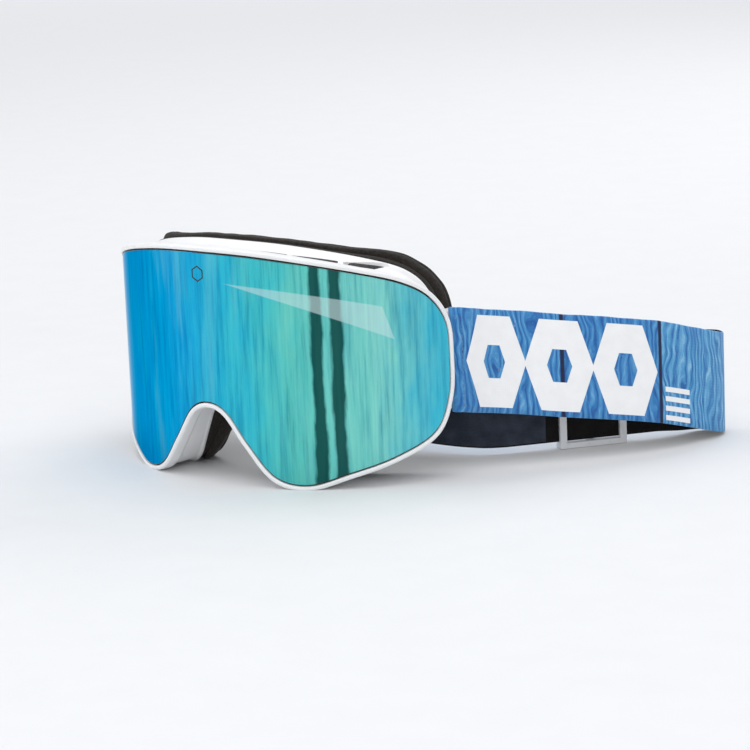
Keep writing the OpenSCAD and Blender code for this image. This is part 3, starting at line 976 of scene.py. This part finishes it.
def band_ring(i, half, out, inside):
    """Section of a flat band with rounded edges, from the outer face round to the inner face."""
    mid, thick = (out + inside) / 2, (out - inside) / 2
    top, low = half + edge_wave(i) * 0.5, -half
    ring = []
    for r in range(ROWS + 1):
        share = r / ROWS
        h = low + 0.4 + (top - low - 0.8) * share
        ring.append((h, mid + thick * (1 + BAND_CROWN * math.sin(math.pi * share))))
    ring += [(top - 0.1, mid + thick * 0.6), (top, mid), (top - 0.1, mid - thick * 0.6)]
    for r in range(ROWS + 1):
        share = 1 - r / ROWS
        ring.append((low + 0.4 + (top - low - 0.8) * share, mid - thick))
    ring += [(low + 0.1, mid - thick * 0.6), (low, mid), (low + 0.1, mid + thick * 0.6)]
    return ring


def build_band(name, first, last, half, out, inside, materials):
    points, cloth = [], []
    for i in range(first, last + 1):
        for h, o in band_ring(i, half, out, inside):
            p = band_point(i, h, o)
            points.append(Vector((p.x, p.y, max(0.02, p.z))))
            cloth.append(((LENGTHS[i] - VISIBLE_START) * MM, (h + STRAP_W / 2) * MM, 0))
    around = 2 * (ROWS + 1) + 6
    last_face = (last - first) * around

    def face_of(polygon):
        j = polygon.index % around
        return 0 if polygon.index < last_face and (j < ROWS + 2 or j >= around - 2) else 1

    band = new_piece(name, points, strip_faces(last - first + 1, around), materials, face_of, sharp=50)
    put_attribute(band, "cloth", cloth)
    return band


def blend_band(piece):
    """Bakes the transform of a stretch of the band, or of a piece on it, into its mesh."""
    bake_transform(piece)


def build_strap(name, node, first, last, side):
    """A stretch of the strap; where side is 0 it lies still with the root, and otherwise its transform is
    baked into its mesh.
    """
    band = build_band(name, first, last, STRAP_W / 2, STRAP_T / 2, -STRAP_T / 2, (BOARDS, INNER_BLACK))
    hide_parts(node)
    if side:
        blend_band(band)
    else:
        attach(band, "root")


build_strap("band_right", "strap_right", 0, RIGHT_END, 1)
build_strap("band_back", "strap_back", RIGHT_END, LEFT_END, 0)
build_strap("band_left", "strap_left", LEFT_END, len(CENTRE) - 1, -1)

TAIL_FIRST = len(right_fold) + len(near_line) - skip + 21
TAIL_LAST = TAIL_FIRST + 54
TAIL_GAP, TAIL_T = 0.05, 1.3
tail_out = -STRAP_T / 2 - TAIL_GAP
# the tail is coloured in painted shade
tail = build_band(
    "band_tail", TAIL_FIRST, TAIL_LAST, STRAP_W / 2 - 1, tail_out, tail_out - TAIL_T, (TAIL_SHADED_BLUE, TAIL_SHADED_BLUE))
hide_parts("strap_tail")
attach(tail, "root")


# ---------------------------------------------------------------- printed blocks and stitches on the strap
def index_at(length):
    """Fractional place on the centre line at a distance from the visible start of the strap."""
    target = length + VISIBLE_START
    for i in range(len(LENGTHS) - 1):
        if LENGTHS[i + 1] >= target:
            return i + (target - LENGTHS[i]) / (LENGTHS[i + 1] - LENGTHS[i])
    return len(LENGTHS) - 1


def strap_surface(length, height, proud):
    """A point on the outer face of the strap, raised by proud."""
    place = index_at(length)
    i = int(place)
    t = place - i
    j = min(i + 1, len(CENTRE) - 1)
    crown = STRAP_T / 2 * (1 + BAND_CROWN * math.sin(math.pi * (height / STRAP_W + 0.5)))
    return band_point(i, height, crown + proud) * (1 - t) + band_point(j, height, crown + proud) * t


# How far a printed film stands out from the strap
FILM_PROUD = 0.10


def print_block(columns):
    """Points and faces of a thin film between columns of (length, low, high), about 1 mm apart."""
    points, cloth = [], []
    fine = []
    for (s0, a0, b0), (s1, a1, b1) in zip(columns, columns[1:]):
        parts = max(1, int(s1 - s0))
        for k in range(parts):
            t = k / parts
            fine.append((s0 + (s1 - s0) * t, a0 + (a1 - a0) * t, b0 + (b1 - b0) * t))
    fine.append(columns[-1])
    rows = 8
    for s, low, high in fine:
        heights = [low + (high - low) * r / rows for r in range(rows + 1)]
        ring = [(h, FILM_PROUD) for h in heights] + [(h, -0.03) for h in heights[::-1]]
        for h, o in ring:
            points.append(strap_surface(s, h, o))
            cloth.append((s * MM, (h + STRAP_W / 2) * MM, 0))
    return points, cloth, strip_faces(len(fine), 2 * (rows + 1))


def build_print(name, blocks, body):
    """One piece made of several film blocks on the strap's outer face, riding with the body it is attached
    to, or with its transform baked where body is blend.
    """
    points, cloth, faces = [], [], []
    for block in blocks:
        more, spots, sides = print_block(block)
        faces += [tuple(v + len(points) for v in f) for f in sides]
        points += more
        cloth += spots
    piece = new_piece(name, points, faces, (FILM,), sharp=30)
    put_attribute(piece, "cloth", cloth)
    if body == "blend":
        blend_band(piece)
    else:
        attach(piece, body)


HEX_HALF, HEX_FLAT, HEX_TALL, HEX_HOLE = 15.0, 8.2, 19.4, 0.36


def hexagon_height(offset, scale):
    """Half height of a flat-topped hexagon at an offset from its middle."""
    drop = (HEX_HALF * scale - abs(offset)) / ((HEX_HALF - HEX_FLAT) * scale)
    return HEX_TALL * scale * max(0.0, min(1.0, drop))


def hexagon_blocks(centre):
    """A bold flat-topped hexagon with a hexagonal hole, as four film blocks."""
    inner, inner_flat = HEX_HALF * HEX_HOLE, HEX_FLAT * HEX_HOLE
    left = [(centre + o, -hexagon_height(o, 1), hexagon_height(o, 1)) for o in (-HEX_HALF, -HEX_FLAT, -inner)]
    right = [(2 * centre - s, low, high) for s, low, high in left[::-1]]
    upper = [
        (centre + o, hexagon_height(o, HEX_HOLE), hexagon_height(o, 1))
        for o in (-inner, -inner_flat, inner_flat, inner)]
    lower = [(s, -high, -low) for s, low, high in upper]
    return [left, right, upper, lower]


for number, centre in enumerate((17.5, 46.8, 76.1)):
    where = "blend" if number < 2 else "root"
    build_print(f"printed_hexagon_{number + 1}", hexagon_blocks(centre), where)
bars = [[(95, h - 1.1, h + 1.1), (108.5, h - 1.1, h + 1.1)] for h in (-6.9, -11.0, -15.1, -19.2)]
build_print("printed_bars", bars, "root")


def build_stitches(name, place, first, last, pitch=2.6, long=1.7, thick=0.22):
    """A row of short raised stitches across the strap at one place along it."""
    points, faces = [], []
    h = first
    while h < last:
        base = len(points)
        for k in range(5):
            t = k / 4
            rise = 0.02 + 0.24 * math.sin(math.pi * t)
            for ds, up in ((-thick, 0.0), (0, thick), (thick, 0.0), (0, -thick)):
                points.append(strap_surface(place + ds, h + long * t, rise + up))
        faces += [tuple(v + base for v in f) for f in strip_faces(5, 4)]
        h += pitch
    return new_piece(name, points, faces, (THREAD,), sharp=60)


stitches = build_stitches("stitch_row_right", 0.6, -19.5, 19.5)
blend_band(stitches)


# ---------------------------------------------------------------- small hard parts, from the CAD nodes
NODE_LOOKS = {
    "lens_seal": (FOAM_FIRM, 0.12), "inner_lens": (CLEAR, 0.0), "lens_carrier": (CARRIER_BLACK, 0.15),
    "carrier_magnets": (NICKEL, 0.15), "frame_magnets": (NICKEL, 0.15),
    "vent_foam_left": (VENT_FOAM, 0.0), "vent_foam_right": (VENT_FOAM, 0.0),
    "strap_bracket_left": (BRACKET_WHITE, 0.3), "strap_bracket_right": (BRACKET_WHITE, 0.3),
    "strap_pin_left": (STEEL, 0.2), "strap_pin_right": (STEEL, 0.2),
    "strap_clip_left": (CLIP_DARK, 0.35), "strap_clip_right": (CLIP_DARK, 0.35),
    "strap_slider": (SLIDER_WHITE, 0.45)}

for name, (material, bevel) in NODE_LOOKS.items():
    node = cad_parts[name]
    node.data.materials.clear()
    node.data.materials.append(material)
    if bevel:
        edge = node.modifiers.new("bevel", "BEVEL")
        edge.width = bevel * MM
        edge.segments = 3
        edge.limit_method = "ANGLE"
        edge.angle_limit = math.radians(40)
        node.modifiers.new("normals", "WEIGHTED_NORMAL")



def glowing_paper_paint():
    """Matt studio paper with a painted glow: it grows a little lighter far behind the object."""
    paint = Paint("studio_paper_glow", Roughness=0.8)
    place = paint.position()
    cloud = paint.noise(place, 45, 5)
    paint.set("Base Color", paint.ramp(cloud, [(0.3, (0.745, 0.75, 0.755)), (0.7, (0.76, 0.765, 0.77))]))
    paint.bump(paint.noise(place, 400, 3), 0.35, 0.00001)
    split = paint.add("ShaderNodeSeparateXYZ")
    paint.link(place, split.inputs[0])
    sideways = paint.math("MULTIPLY", split.outputs["X"], 0.61)
    away = paint.math("SUBTRACT", paint.math("MULTIPLY", split.outputs["Y"], 0.79), sideways)
    share = paint.math("MULTIPLY", paint.math("SUBTRACT", away, 0.3), 0.5, True)
    # painted light: an emission glow that rises far behind the object
    paint.shader.inputs["Emission Color"].default_value = (1, 1, 1, 1)
    paint.set("Emission Strength", paint.math("MULTIPLY", share, 0.33))
    return paint.material


def build_floor(half=8.0):
    data = bpy.data.meshes.new("floor")
    corners = [(-half, -half, 0), (half, -half, 0), (half, half, 0), (-half, half, 0)]
    data.from_pydata(corners, [], [(0, 1, 2, 3)])
    data.materials.append(glowing_paper_paint())
    floor = bpy.data.objects.new("floor", data)
    bpy.context.scene.collection.objects.link(floor)


build_floor()
